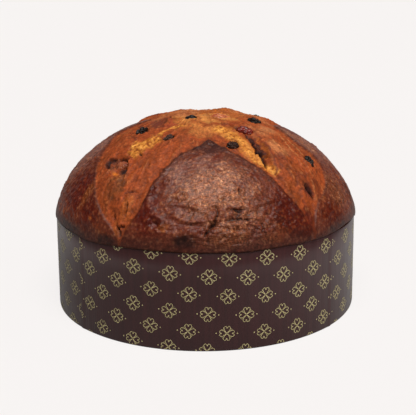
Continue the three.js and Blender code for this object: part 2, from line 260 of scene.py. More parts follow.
def on_dome(azimuth, arc):
    """Points and outward normals of the smooth dome."""
    arcs, radii, heights = MERIDIAN
    radius = np.interp(arc, arcs, radii)
    height = np.interp(arc, arcs, heights)
    middles = (arcs[1:] + arcs[:-1]) / 2
    slope = np.interp(arc, middles, np.arctan2(-np.diff(heights), np.diff(radii)))
    turn = np.radians(azimuth)
    x, y = np.sin(turn), -np.cos(turn)
    points = np.stack([radius * x, radius * y, height], -1)
    normals = np.stack([x * np.sin(slope), y * np.sin(slope), np.cos(slope)], -1)
    return points, normals


def crust_grid():
    """The crust's mesh on the smooth dome: a disc of rings."""
    counts = 6 * np.arange(1, RINGS + 1)
    ring = np.concatenate([[0], np.repeat(np.arange(1, RINGS + 1), counts)])
    place = np.concatenate([[0]] + [np.arange(count) for count in counts])
    azimuth = 60 * place / np.maximum(ring, 1)
    arc = DOME_ARC * ring / RINGS
    crust = SimpleNamespace(azimuth=azimuth, arc=arc, at=on_map(azimuth, arc), faces=ring_faces())
    crust.points, crust.normals = on_dome(azimuth, arc)
    return crust


def first_of(ring):
    return 0 if ring == 0 else 1 + 3 * ring * (ring - 1)


def ring_faces():
    faces = []
    for ring in range(1, RINGS + 1):
        inside, outside = first_of(ring - 1), first_of(ring)
        for sextant in range(6):
            for n in range(ring):
                i = inside + (0 if ring == 1 else (sextant * (ring - 1) + n) % (6 * (ring - 1)))
                o = outside + sextant * ring + n
                o_next = outside + (sextant * ring + n + 1) % (6 * ring)
                faces.append((i, o, o_next))
                if n + 1 < ring:
                    faces.append((i, o_next, inside + (sextant * (ring - 1) + n + 1) % (6 * (ring - 1))))
    return faces


# The crust's relief


def depth_in_petal(at):
    """Millimetres into the nearest petal, negative outside every petal."""
    deepest = np.full(len(at), -np.inf)
    for outline in PETALS.values():
        distance, side, _ = nearest_on(line_on_map(outline, 60), at)
        deepest = np.maximum(deepest, -side * distance)
    return deepest


# The long crack on the right and the hollow on the left

CRACK = [(33.1, 50), (31.7, 54.4), (31.5, 58.5), (31.1, 63), (30.8, 70.3), (31.3, 76.1), (30.5, 84.9)]
CRACK_HEAD = [(27.1, 33.4), (27.5, 38.7), (29, 45.1), (33, 50)]
HOLLOW_SIDE = [(-51, 90), (-51.9, 87.5), (-53.8, 84.6), (-53.6, 82.6), (-50, 80)]
HOLLOW_TOP = [(-50, 80.5), (-45.5, 80), (-42.2, 81.8), (-39.9, 85.2), (-39.2, 89.2), (-40.4, 92.8)]
HOLLOW_FLOOR = [(-49, 85), (-48.4, 89), (-47.4, 94)]

# Cracks and creases: path, half-width and depth

CREASES = [
    ([(2.8, 109), (4.3, 112.8), (3.8, 116.8), (2.8, 121), (1.3, 124.1), (0.2, 127.4), (-1, 131.2)], 0.8, 1.9),
    ([(-8.1, 115.2), (-2.4, 112.7), (2.5, 111.1), (5.4, 107.1), (10.6, 101.5), (13.9, 99.2), (16.1, 94.9)],
     0.7, 0.7),
    ([(13.9, 98.3), (13.2, 101.8), (13.4, 105.7)], 0.7, 1.5),
    ([(7, 113.1), (9.7, 112.2), (12.4, 113.6), (14.9, 111.8)], 0.8, 1.5),
    ([(7.5, 119.4), (11.1, 118.8), (14.6, 119.7), (19, 121)], 0.7, 1.3),
    ([(9, 126), (12.4, 125.5), (15.8, 127)], 0.7, 1.0),
    ([(19.2, 121), (19.7, 125), (20, 129.7), (21.9, 135.3)], 0.8, 1.5),
    ([(1.8, 133.5), (4.7, 130.7), (7.2, 127.9), (9.7, 128.8)], 0.7, 1.0),
    ([(-6.4, 127.5), (-3.9, 129.8), (-3.3, 135)], 0.8, 1.0),
    ([(24.2, 117.9), (28.1, 122.1), (31.4, 127.8)], 0.5, 0.6),
    ([(30.1, 125.9), (35, 121.5), (37.6, 124.9)], 0.5, 0.6),
    ([(-20.7, 117.4), (-18, 121), (-15.4, 126.1)], 0.8, 0.8),
    ([(-30.5, 109.6), (-29.9, 115.1), (-29.6, 119.2)], 0.8, 2.6),
    ([(-32.7, 125.6), (-31, 128.4), (-29.9, 132.2)], 0.9, 2.4), ([(-31.4, 127), (-29.1, 125.5)], 0.7, 1.6),
    ([(-32.8, 104.8), (-30.4, 102.6), (-27.8, 101.6)], 0.7, 1.2),
    ([(-30.5, 109.3), (-28.2, 107.1)], 0.6, 0.9), ([(-14, 65.5), (-20.2, 58)], 0.6, 0.6),
    (HOLLOW_SIDE, 1.1, 2.8), (HOLLOW_TOP, 1.2, 3.2), (HOLLOW_FLOOR, 0.8, 2.0),
    ([(34.6, 96.8), (37.9, 97.3)], 0.6, 0.9), ([(43.8, 102.5), (45.3, 107.4), (46.4, 113.6)], 1.2, 2.2),
    ([(80.8, 90), (77, 100), (74, 110)], 0.7, 0.6), ([(77.7, 112), (77, 120.2), (73, 126)], 0.8, 1.2),
    ([(-70.2, 85.3), (-66, 87), (-62, 86)], 0.8, 1.2), ([(-62, 100), (-57, 108), (-55, 118)], 0.8, 0.7),
    (CRACK, 1.3, 1.6), (CRACK_HEAD, 1.1, 2.2), ([(-41.4, 53.4), (-36, 50.7), (-33, 51.5)], 0.9, 1.6),
    ([(172, 109.6), (176, 114.6), (175, 120.6), (179, 125.6)], 0.8, 1.6),
    ([(183, 115.6), (189, 116.6), (195, 114.6)], 0.8, 1.2),
    ([(186, 122), (192, 123), (198, 121.5)], 0.7, 1.1), ([(168, 104), (176, 101), (183, 103)], 0.7, 0.9),
    ([(262, 105), (266, 112), (264, 122)], 0.8, 1.0), ([(252, 112), (256, 117), (253, 124)], 0.8, 1.0),
    ([(104, 108), (102, 116), (106, 124)], 0.8, 1.1), ([(136, 106), (134.5, 114), (136, 122)], 0.8, 2.4),
    ([(226, 106), (225, 114), (225.5, 124)], 0.8, 2.2),
]

# Pits torn in the crumb: place, half-length down the arc, half-width and depth

PITS = [
    ((31.4, 60.3), 3.6, 2.0, 2.6), ((30.6, 65.6), 3.0, 1.6, 2.0), ((29.6, 71.4), 2.2, 2.8, 2.6),
    ((31, 73.8), 2.2, 1.8, 2.2), ((30.5, 79.4), 3.0, 1.3, 2.2), ((30.4, 84), 2.8, 1.0, 1.8),
    ((33.6, 66.4), 2.8, 0.8, 2.2), ((33, 76), 1.8, 0.8, 1.8), ((-34.5, 120.8), 1.1, 1.1, 2.0),
    ((-43.5, 80.8), 2.2, 4.5, 2.6), ((44.4, 104.4), 2.6, 1.6, 1.6), ((46, 111.5), 2.4, 1.2, 1.4),
    ((-50.6, 60.4), 2.0, 1.2, 1.6), ((-47, 70.5), 1.4, 1.8, 1.8), ((-36.5, 73.6), 1.4, 2.2, 1.8),
    ((-45.5, 74.5), 1.2, 2.2, 1.6), ((24, 33.5), 2.2, 3.6, 2.6), ((-62, 27), 2.2, 5.5, 2.6),
    ((219, 43.6), 5.0, 1.8, 3.0), ((224.5, 63.6), 5.5, 1.6, 3.6), ((226.5, 77.6), 4.0, 1.4, 2.6),
    ((120, 67.6), 2.0, 5.0, 2.6), ((126, 76), 3.4, 1.6, 2.2),
]

# Blisters: place, radius and height, a ring where the last value is true

BLISTERS = [
    ((-15.9, 93), 2.4, 1.1, True), ((-8.9, 103), 3.0, 1.1, True), ((-4.4, 108.6), 2.4, 0.8, True),
    ((2.9, 83.7), 1.6, 0.8, True), ((-19.4, 85.5), 2.2, 0.7, True), ((-21.1, 98.7), 2.2, 0.7, True),
    ((-17.8, 121.5), 4.6, 0.9, True), ((-22, 106), 4.0, 0.6, False), ((-20, 114), 4.5, 0.7, False),
    ((-6, 126), 4.0, 1.0, False), ((-7.2, 131.4), 6.0, 0.7, False), ((-65, 128.5), 1.9, 1.0, False),
    ((-45.1, 125.5), 1.5, 0.7, False), ((-44, 84), 3.2, 1.6, False), ((-44.4, 88.5), 3.2, 2.4, False),
    ((-45, 92.5), 3.0, 1.8, False), ((48.9, 96.4), 1.4, 0.9, False), ((52.1, 118.2), 2.2, 0.8, True),
    ((3.8, 57.3), 1.6, 0.6, True), ((-4.4, 62.2), 1.4, 0.6, False), ((-25.5, 79), 2.6, 0.5, True),
    ((150, 118), 3.0, 0.8, True), ((196, 100), 2.8, 0.9, True), ((176, 88), 2.0, 0.8, True),
    ((252, 104), 2.6, 0.9, True), ((100, 100), 2.4, 0.8, True), ((-78, 112), 2.0, 0.8, True),
    ((92, 84), 2.4, 0.7, True),
]


def tapered(along, share):
    """1 along a line, fading to 0 over a share of it at both ends."""
    return smooth(0, share, along) * smooth(0, share, 1 - along)


def soft_oval(crust, place, width, height):
    """1 at a place, fading over a half-width in degrees and a half-height in millimetres."""
    return bell(turn_between(place[0], crust.azimuth), width) * bell(crust.arc - place[1], height)


def ridge_height(ridge, at):
    distance, side, along = nearest_on(line_on_map(ridge["path"], 40), at)
    over = np.where(side > 0, np.exp(-distance / RIDGE_REACH), bell(distance, RIDGE_LIP))
    rise = ridge["rise"] * over * smooth(0, 0.15, along) * smooth(0, 0.4, 1 - along)
    behind = bell(side * distance + CRACK_OFFSET, CRACK_WIDTH)
    fall = ridge["crack"] * behind * smooth(0, 0.15, along) * smooth(0.3, 0.6, 1 - along)
    return rise - fall


def fold_height(fold, crust):
    place, half_width, half_height, pitch, height = fold
    inside = soft_oval(crust, place, half_width, half_height)
    waver = 2.5 * plane_noise(*crust.at.T / FOLD_WAVES) + 3.5 * crust.medium
    return height * inside * np.cos(2 * np.pi * (crust.arc + waver) / pitch)


def main_relief(crust):
    """The relief that the solids have."""
    inside = crust.in_petal
    height = PETAL_STEP * (smooth(-0.6, 1.0, inside) - 1) + PETAL_LIP * bell(inside - 1.6, 1.8)
    height += TORN_RISE * smooth(3, 16, -inside)
    height += TORN_ROUGHNESS * smooth(0, 6, -inside) * plane_noise(*crust.at.T / TORN_LUMPS)
    height += CRUST_WAVINESS * plane_noise(*crust.at.T / CRUST_WAVES)
    for ridge in RIDGES:
        height += ridge_height(ridge, crust.at)
    for place, radius, rise in SWELLINGS:
        height += rise * bell(np.linalg.norm(crust.at - on_map(*place), axis=1), radius)
    for fold in FOLDS:
        height += fold_height(fold, crust)
    return height


def rim_bulge(azimuth):
    """How far the crust swells out over the case's rim."""
    left = LEFT_BULGE["height"] * bell(turn_between(LEFT_BULGE["azimuth"], azimuth), LEFT_BULGE["half_width"])
    return RIM_BULGE * (0.5 + 0.5 * noise_round(azimuth, 14)) + left


def local(crust, place):
    """Offsets from a place on the crust, round the dome and down it, in real millimetres."""
    radius = np.interp(place[1], MERIDIAN[0], MERIDIAN[1])
    across = np.radians(turn_between(place[0], crust.azimuth)) * radius
    return across, crust.arc - place[1]


def crease_relief(crust):
    """Cracks, creases, pits and blisters."""
    height = np.zeros(len(crust.arc))
    waver = np.stack([crust.fine, crust.finer], -1) * 0.8
    for path, width, depth in CREASES:
        distance, _, along = nearest_on(line_on_map(path, 24), crust.at + waver)
        ends = tapered(along, 0.2)
        height -= depth * ends * (1 + 0.5 * crust.medium) * bell(distance, width)
        height += 0.3 * depth * ends * bell(distance - 2.2 * width, 1.3 * width)
    for place, length, width, depth in PITS:
        across, down = local(crust, place)
        reach = np.sqrt((across / width) ** 2 + (down / length) ** 2) + 0.25 * crust.fine
        height -= depth * (1 - smooth(0.35, 1.25, reach))
    for place, radius, rise, ring in BLISTERS:
        across, down = local(crust, place)
        reach = np.hypot(across, down) / radius + 0.12 * crust.fine
        shape = bell(reach - 0.9, 0.28) - 0.5 * bell(reach, 0.45) if ring else bell(reach, 0.8)
        height += rise * shape
    return height


def low_on_petals(crust):
    """Where the front and back petals are shrivelled, low down."""
    return np.maximum(*(soft_oval(crust, *oval) for oval in SHRIVELLED))


def wrinkle_relief(crust):
    """Leathery wrinkles on the petals, coarser and deeper low on the front and back."""
    swirl = 1.2 * np.stack([crust.fine, crust.medium, crust.fine], -1)
    coarse = 0.55 - 2.4 * np.abs(grain(crust.points * [0.8, 0.8, 1.7] + swirl, 9, 3))
    middle = 0.55 - 2.4 * np.abs(grain(crust.points * [1, 1, 1.5] + swirl, 4.2, 4))
    side = 0.35 * soft_oval(crust, *LEFT_WRINKLES)
    low = np.maximum(low_on_petals(crust), side)
    skin = smooth(0, 3, crust.in_petal)
    torn = 0.35 * (1 - skin)
    pores = 0.2 * crust.finer
    return (skin + torn) * (coarse * (0.2 + 0.8 * low) + middle * (0.1 + 0.6 * low) + pores)


def crumb_relief(crust):
    """Ragged tears in the open crumb."""
    torn = 0.4 - 2 * np.abs(grain(crust.points, 3.0, 7))
    fibres = crust.torn * (1 - crust.crumb) * (0.3 * crust.streak - 0.45 * crust.fibre + 0.25 * crust.finer)
    return crust.crumb * (0.35 * torn + 0.2 * crust.fine + 0.4 * crust.finer) + fibres


# Colour

DEEPENING = 0.22
PALE_PETALS = (4, 184)

# Albedos, as RRGGBB

PALETTE = dict(
    # The grey-pink petal tone on the next line is painted sheen as well.
    # The pale petal tone on the next line is painted sheen, the broad highlight of the light from above.
    petal="6A3422", glaze="965A3E", rose="84584C", tip="482620", flank="561A0D", umber="501803",
    burnt="2A110B", russet="743A1E", amber="8C4E22", grey_rim="40302C", edge="33201D", fleck="BC8A60",
    skin="9A5028", skin_pale="BC8056", brown="84451F", mud="6E421F", red_skin="964A30", purple="6E3A2A",
    orange="B06A2E", honey="DC9D5A", gold="C87A2A", gold_pale="E2A654", gold_deep="8C4412",
    # The pit tone, the darkest, is painted shade: cracks, hollows and the deepest creases are darkened with
    # it.
    straw="CC9664", pit="240B05", shadow="34120A",
)

# Fields of colour: place, half-width round the dome, half-height down it, colour, strength, raggedness and,
# where there is one, turn

# The pale tone laid over the petals' middles, and over a few blisters low on them, is painted sheen.
PETAL_FIELDS = [
    ((4, 97), 24, 19, "glaze", 0.9, 0.4), ((8, 118), 19, 12, "glaze", 0.42, 0.5),
    # The grey-pink fields on the petals' upper parts are painted sheen.
    ((3, 62), 11, 9, "tip", 0.9, 0.3), ((-13, 88), 9, 13, "rose", 0.8, 0.4, 10),
    ((0, 78), 11, 8, "rose", 0.6, 0.4), ((8, 129), 15, 7, "russet", 0.8, 0.5),
    ((-22, 112), 10, 20, "flank", 0.95, 0.35, -12), ((-18, 122), 8, 8, "flank", 0.5, 0.4),
    ((-14, 124), 4, 3, "amber", 0.6, 0.7), ((-7, 131.5), 8, 4.6, "burnt", 0.95, 0.15),
    ((31, 117), 15, 20, "umber", 1.0, 0.4), ((36, 128), 10, 10, "umber", 1.0, 0.3),
    ((24, 131), 10, 4, "russet", 0.6, 0.5), ((-59, 110), 22, 17, "flank", 0.9, 0.4),
    ((-52, 112), 5, 13, "amber", 0.5, 0.6), ((-47, 122), 12, 9, "flank", 0.8, 0.4),
    ((-80, 88), 14, 24, "rose", 0.85, 0.35), ((-45.1, 125.5), 1.7, 1.9, "amber", 0.85, 0.3),
    ((-65, 128.5), 2.2, 2.6, "glaze", 0.9, 0.3), ((-41, 131), 9, 4, "russet", 0.5, 0.5),
    ((-36, 135), 8, 3, "burnt", 0.9, 0.4), ((-56, 135), 17, 4, "grey_rim", 0.85, 0.3),
    ((64, 112), 13, 13, "russet", 0.8, 0.4), ((78, 72), 8, 18, "glaze", 0.7, 0.35),
    ((92, 92), 18, 26, "rose", 0.7, 0.3), ((52, 126), 12, 9, "umber", 0.9, 0.4),
    ((50, 113), 5, 5, "amber", 0.5, 0.5), ((77, 122), 8, 10, "grey_rim", 0.5, 0.4),
    ((53, 136), 13, 3.5, "grey_rim", 0.8, 0.3), ((186, 94), 26, 20, "glaze", 0.85, 0.35),
    ((182, 60), 11, 9, "tip", 0.85, 0.3), ((160, 114), 10, 16, "flank", 0.85, 0.4),
    ((212, 116), 10, 14, "umber", 0.85, 0.45), ((188, 116), 17, 9, "russet", 0.75, 0.5),
    ((178, 131), 9, 5, "burnt", 0.85, 0.2), ((248, 112), 13, 17, "flank", 0.8, 0.45),
    ((262, 84), 14, 20, "rose", 0.7, 0.35), ((116, 114), 12, 16, "flank", 0.8, 0.45),
    ((106, 90), 12, 18, "rose", 0.6, 0.4), ((92, 118), 12, 12, "russet", 0.6, 0.4),
]
SKIN_FIELDS = [
    ((0, 0), 30, 32, "orange", 0.8, 0.5), ((2, 20), 24, 13, "honey", 0.85, 0.55),
    ((0, 42), 16, 9, "honey", 0.5, 0.5), ((19, 43), 9, 7, "orange", 0.7, 0.6, -20),
    ((-104, 14), 22, 12, "skin_pale", 0.8, 0.4), ((-25, 86), 9, 22, "skin", 0.8, 0.3),
    ((-39, 102), 8, 12, "mud", 0.8, 0.4), ((-29.5, 113), 4, 12, "orange", 0.6, 0.6),
    ((-32, 129), 4, 6, "orange", 0.5, 0.5), ((-50, 98), 6, 13, "skin", 0.7, 0.3),
    ((-47, 85), 8, 8, "brown", 0.9, 0.4), ((-44.4, 88), 3.6, 7, "red_skin", 0.95, 0.35, -10),
    ((-42.4, 92.8), 3, 1.6, "gold", 0.9, 0.4), ((-49.5, 84), 5, 5, "shadow", 0.85, 0.4),
    ((-30, 79), 7, 7, "brown", 0.7, 0.4), ((-60, 38), 10, 6, "purple", 0.95, 0.3, 20),
    ((-52, 43), 5, 4, "purple", 0.8, 0.4), ((-37.5, 38.5), 6, 4.5, "red_skin", 0.85, 0.4),
    ((-62, 55), 8, 9, "skin", 0.7, 0.4), ((-70, 62), 5, 16, "brown", 0.5, 0.3),
    ((-84, 30), 12, 9, "skin_pale", 0.6, 0.5), ((52, 50), 14, 10, "skin_pale", 0.85, 0.35),
    ((43, 71), 9, 9, "skin_pale", 0.8, 0.35), ((39, 84.5), 6, 6, "purple", 0.8, 0.4),
    ((42, 92), 9, 11, "brown", 0.85, 0.5), ((36, 107), 7, 9, "brown", 0.8, 0.4),
    # The dark purple round the hollow on the right is partly the crust's colour and partly painted shade,
    # with painted shadow in its middle.
    ((43.8, 104), 6, 9, "purple", 0.9, 0.5, -25), ((44.8, 106.5), 3.6, 5.5, "shadow", 0.95, 0.6, -25),
    ((51, 107), 6, 11, "russet", 0.85, 0.4), ((60, 78), 12, 16, "brown", 0.6, 0.5),
    ((62, 92), 5, 12, "skin", 0.7, 0.4), ((34.5, 112), 6, 12, "brown", 0.85, 0.4),
    ((41, 126), 9, 14, "umber", 0.9, 0.4), ((40, 78), 4.5, 3.5, "purple", 0.6, 0.4),
    ((44, 97), 5, 3.5, "purple", 0.7, 0.4), ((68, 91), 4, 9, "brown", 0.7, 0.4),
    ((26, 37), 7, 3.5, "red_skin", 0.8, 0.5), ((84, 44), 8, 7, "skin_pale", 0.6, 0.4),
    ((110, 34), 16, 12, "skin_pale", 0.7, 0.5), ((128, 64), 9, 9, "orange", 0.7, 0.6),
    ((136, 100), 8, 16, "brown", 0.8, 0.4), ((226, 100), 8, 16, "skin", 0.7, 0.4),
    ((214, 54), 10, 14, "orange", 0.7, 0.6, 20), ((180, 30), 24, 12, "skin_pale", 0.7, 0.5),
    ((238, 66), 8, 14, "skin", 0.7, 0.4),
]

# Thin strokes of colour: path, half-width, colour and strength

# The dark strokes in the cracks, pits and hollows are painted shade.
STROKES = [
    (CRACK, 1.5, "pit", 0.97), ([(34.4, 52), (35.2, 60), (34.6, 68), (33.4, 80)], 2.6, "russet", 0.9),
    ([(33, 54), (33.8, 62), (33, 72)], 0.9, "shadow", 0.9), ([(32.4, 60), (34.6, 62.5)], 0.6, "pit", 0.9),
    ([(31.4, 65), (34.2, 68)], 0.7, "pit", 0.9), ([(31, 70), (33.8, 73.5)], 0.7, "pit", 0.9),
    ([(29.4, 68), (31.4, 70), (32.2, 72)], 0.5, "shadow", 0.9), ([(33.6, 56), (35.4, 60)], 0.5, "pit", 0.8),
    ([(32.6, 64), (33.6, 66)], 0.4, "gold", 0.7), ([(32.4, 74), (33, 77)], 0.4, "gold", 0.6),
    ([(39.8, 49), (38.7, 60.3), (37.1, 69.5), (35.2, 78.9), (33.6, 87.3), (32.6, 94.2)], 0.7, "purple", 0.85),
    ([(38.3, 51), (37, 62), (35.2, 71), (33.8, 80), (32.4, 88)], 0.9, "orange", 0.5),
    (HOLLOW_SIDE, 1.8, "pit", 0.97), (HOLLOW_TOP, 2.2, "pit", 0.97), (HOLLOW_FLOOR, 1.0, "shadow", 0.9),
    ([(-44, 83), (-43.6, 88), (-44.6, 93)], 0.8, "skin_pale", 0.35),
    ([(67, 60), (62.2, 68.3), (55.4, 79.8), (53.7, 89)], 0.8, "straw", 0.6),
    ([(62, 58), (57, 66), (51, 76), (50, 84)], 0.6, "straw", 0.5),
    ([(47, 62), (44, 70), (44.5, 80)], 0.6, "straw", 0.4),
    ([(52, 60), (48, 69), (47, 78)], 0.7, "brown", 0.6),
    ([(56, 62), (51, 70), (47, 78)], 0.6, "brown", 0.5),
    ([(66, 72), (60, 80), (57.5, 90)], 0.7, "brown", 0.6),
    ([(48.5, 97), (49.2, 103), (48.6, 109.5), (46.4, 115)], 0.8, "skin_pale", 0.4),
    ([(43.8, 101.5), (45, 107.4), (46.2, 113.2)], 1.4, "pit", 0.85), (CRACK_HEAD, 1.1, "pit", 0.85),
    ([(-41, 53.6), (-36, 50.7), (-33, 51.5)], 1.0, "pit", 0.8),
    ([(12, 48), (17, 52), (20.5, 56)], 1.0, "gold_pale", 0.4),
    ([(-63, 56), (-57, 60), (-52, 60.6)], 0.8, "shadow", 0.6),
    ([(2, 12), (16, 22), (28, 30)], 1.2, "brown", 0.5), ([(-20, 14), (-8, 24), (-2, 33)], 1.2, "skin", 0.6),
    ([(-55, 28), (-45, 33), (-30, 36)], 1.2, "red_skin", 0.7),
    ([(-74, 46), (-66, 50), (-58, 51)], 1.0, "shadow", 0.6),
    ([(-72, 30), (-62, 30), (-50, 36), (-46, 42)], 0.9, "shadow", 0.6),
    ([(-12, 28), (4, 33), (16, 34)], 1.0, "brown", 0.5),
    ([(-29, 101), (-31, 103.5), (-33, 104.6)], 0.7, "shadow", 0.7),
    ([(-30, 109.6), (-29.6, 119)], 0.6, "pit", 0.8),
]

# Where the petals are speckled: place, half-width and half-height

SPECKLED = [
    ((6, 98), 34, 24), ((12, 122), 30, 16), ((186, 94), 34, 28), ((62, 112), 16, 14), ((76, 70), 10, 22),
    ((262, 88), 16, 22),
]

# The strips of open golden crumb: path, half-width

CRUMB_STRIPS = [
    ([(8, 38), (15, 43), (22, 52), (24.2, 61), (25.4, 70), (27.6, 80), (30.2, 90)], 5.6),
    ([(28, 77), (30.8, 84), (33, 92)], 3.0), ([(-49, 68), (-44, 66), (-38, 61), (-35, 53)], 6.6),
    ([(-43, 76), (-40, 68), (-40, 60)], 6.0), ([(-36, 54), (-38, 44), (-22, 34)], 2.6),
    ([(205, 32), (216, 50), (222, 68), (224, 86)], 5.5), ([(118, 66), (126, 70), (132, 78)], 5.0),
]


def field_shape(crust, place, width, height, ragged, turn=0):
    """How strongly each point lies in a ragged oval field."""
    across, down = local(crust, place)
    turned = math.radians(turn)
    u = (across * math.cos(turned) + down * math.sin(turned)) / width
    v = (down * math.cos(turned) - across * math.sin(turned)) / height
    return 1 - smooth(0.45, 1.25, np.hypot(u, v) + ragged * (0.5 * crust.medium + 0.4 * crust.fine))


def crumb_mask(crust):
    """Where the golden crumb lies open."""
    amount = np.zeros(len(crust.arc))
    for path, width in CRUMB_STRIPS:
        distance, _, along = nearest_on(line_on_map(path, 30), crust.at)
        edge = distance / width + 0.35 * crust.finer + 0.35 * crust.fine + 0.4 * crust.medium
        amount = np.maximum(amount, tapered(along, 0.12) * (1 - smooth(0.45, 1.2, edge)))
    return amount * crust.torn


def mix(colour, other, amount):
    return colour + (other - colour) * np.clip(amount, 0, 1)[:, None]


def tinted(name):
    return linear(PALETTE[name])


def painted(colour, *coats):
    """A colour under coats of others, each a name and an amount."""
    for name, amount in coats:
        colour = mix(colour, tinted(name), amount)
    return colour


def paint_fields(crust, colour, fields, where):
    for place, width, height, name, strength, ragged, *turn in fields:
        shape = field_shape(crust, place, width, height, ragged, *turn)
        colour = painted(colour, (name, shape * where * strength))
    return colour


def paint_strokes(crust, colour):
    at = crust.at + 1.1 * np.stack([crust.fine, crust.finer], -1)
    for path, width, name, strength in STROKES:
        distance, _, along = nearest_on(line_on_map(path, 24), at)
        ends = tapered(along, 0.15)
        thin = 1 + 0.6 * crust.medium
        reach = distance / (width * np.maximum(thin, 0.35))
        colour = painted(colour, (name, strength * ends * (1 - smooth(0.4, 1.5, reach))))
    return colour


def torn_colour(crust, colour, torn):
    """Fibres and golden crumb on the torn dough."""
    skin = torn * (1 - crust.crumb)
    fibrous = painted(
        colour,
        ("brown", skin * 0.5 * smooth(0.1, 0.8, crust.streak)),
        ("shadow", skin * 0.25 * smooth(0.35, 0.9, crust.fibre)),
        ("straw", skin * 0.25 * smooth(0.4, 1.0, -crust.fibre + 0.4 * crust.finer)),
        ("brown", skin * 0.55 * smooth(0.0, 0.8, crust.medium + 0.4 * crust.fine)),
    )
    golden = painted(
        np.tile(tinted("gold"), (len(torn), 1)),
        ("gold_pale", 0.4 + 0.6 * crust.finer + 0.5 * crust.fine),
        ("gold_deep", 0.8 * smooth(0.1, 0.9, -crust.finer - 0.6 * crust.medium)),
    )
    return mix(fibrous, golden, 0.9 * crust.crumb)


def petal_colour(crust, colour, petal):
    """Darker mottling, pale flecks and dark edges on the petals."""
    mottle = smooth(0.0, 0.9, crust.medium + 0.6 * crust.fine)
    colour = painted(colour, ("flank", petal * 0.5 * mottle))
    bright = np.clip(colour.sum(1) / 0.35, 0, 1)
    fleck = smooth(0.15, 0.9, crust.finer + 0.4 * crust.fine)
    front = sum(bell(turn_between(middle, crust.azimuth), 36) for middle in PALE_PETALS)
    broad = front * bell(crust.in_petal - 2, 4) * smooth(118, 90, crust.arc)
    edge = 0.6 * bell(crust.in_petal - 0.3, 1.1) + 0.5 * broad
    colour = painted(colour, ("fleck", petal * 0.4 * fleck * bright))
    return painted(colour, ("edge", 0.75 * np.minimum(edge, 1) * smooth(136, 116, crust.arc)))


def speckled(crust):
    """Where the petals are pale and speckled: their middles, not their glazed dark flanks."""
    amount = np.zeros(len(crust.arc))
    for place, width, height in SPECKLED:
        amount = np.maximum(amount, field_shape(crust, place, width, height, 0.5))
    return amount * smooth(-0.5, 0.7, crust.in_petal)


def deepened(colour, amount):
    """The same colour made purer, where amount is above 0."""
    purity = colour / colour.max(1, keepdims=True)
    return colour * purity ** (DEEPENING * np.clip(amount, 0, 1))[:, None]


def crust_colour(crust, pit):
    """Albedo of every point, pit being how far it lies below the crust round it."""
    petal = smooth(-0.4, 0.6, crust.in_petal)
    colour = painted(np.tile(tinted("skin"), (len(pit), 1)), ("petal", petal))
    colour = paint_fields(crust, colour, SKIN_FIELDS, 1 - petal)
    colour = paint_fields(crust, colour, PETAL_FIELDS, petal)
    colour = petal_colour(crust, torn_colour(crust, colour, 1 - petal), petal)
    rim = smooth(126, 136, crust.arc + 3 * crust.medium + 1.5 * crust.fine)
    colour = painted(
        paint_strokes(crust, colour),
        ("edge", rim * 0.6),
        # Painted shade: darker the deeper a point lies below the crust round it, and more so in the creases
        # low on the petals.
        ("pit", smooth(0.6, 2.2, pit) * 0.9),
        ("pit", smooth(0.3, 1.1, pit) * 0.4 * low_on_petals(crust)),
    )
    colour = deepened(colour, 1 - 0.85 * speckled(crust) - 0.5 * crust.crumb - 0.35 * petal)
    return np.clip(colour * (1 + 0.35 * crust.finer + 0.25 * crust.fine)[:, None], 0.002, 0.95)


# The loaf

LOAF_BOTTOM = 1.5
CASE_CLEARANCE = 1.5
RIM_UNDERCUT = 0.35
RIM_THICKNESS = 0.5
RIM_GAP = 0.35
INNER_GAP = 0.4
RIM_OVERHANG = 0.25
RIM_LEVEL = 65.4

# The crust's lower edge: azimuth and height

RIM_LINE = [
    (-75, 66.4), (-61, 66.4), (-54, 65.5), (-45, 64.3), (-39, 64.3), (-30, 65.0), (-13, 65.4), (0, 65.0),
    (13, 64.8), (24, 65.3), (46, 65.4), (57, 66.5), (65, 66.7), (75, 66.5),
]

# Sizes of the noises that shape and colour share, the last two round the dome in degrees and down it

MEDIUM_GRAIN = 8
FINE_GRAIN = 3.2
FINER_GRAIN = 1.5
STREAK_CELL = (3.0, 26)
FIBRE_CELL = (1.1, 9)
CONTRAST = 1.4


def rim_height(azimuth):
    """The height of the crust's lower edge, which hangs over the case's rim."""
    turned = turn_between(0, azimuth)
    knots = np.array(RIM_LINE)
    seen = np.interp(turned, knots[:, 0], knots[:, 1], left=RIM_LEVEL, right=RIM_LEVEL)
    return seen + 0.35 * noise_round(azimuth, 40)


def drawn_out(crust, cell, bend, seed):
    """Noise drawn out down the dome, in cells of so many degrees and millimetres."""
    spots = np.stack([crust.azimuth / cell[0], crust.arc / cell[1], np.zeros(len(crust.arc))], -1)
    return grain(spots + bend * crust.medium[:, None], 1, seed) * CONTRAST


def measure_fields(crust):
    """The noises and masks that shape and colour share."""
    crust.medium = grain(crust.points, MEDIUM_GRAIN, 1) * CONTRAST
    crust.fine = grain(crust.points, FINE_GRAIN, 2) * CONTRAST
    crust.finer = grain(crust.points, FINER_GRAIN, 5) * CONTRAST
    crust.streak = drawn_out(crust, STREAK_CELL, 0.3, 6)
    crust.fibre = drawn_out(crust, FIBRE_CELL, 0.5, 8)
    warp = 0.7 * np.stack([crust.medium, crust.fine], -1)
    crust.in_petal = depth_in_petal(crust.at + warp)
    crust.torn = smooth(0, 4, -crust.in_petal)
    crust.crumb = crumb_mask(crust)


def fruit_beds(crust):
    """The crust dips under each piece of fruit and rises a little round it."""
    height = np.zeros(len(crust.arc))
    for place, size, turn in RAISINS + PEEL:
        across, down = local(crust, place)
        turned = math.radians(turn)
        u = (across * math.cos(turned) - down * math.sin(turned)) / (size[0] / 2)
        v = (across * math.sin(turned) + down * math.cos(turned)) / (size[1] / 2)
        reach = np.hypot(u, v) + 0.1 * crust.fine
        height += BED_LIP * bell(reach - 1.35, 0.3) - BED_DEPTH * (1 - smooth(0.75, 1.1, reach))
    return height


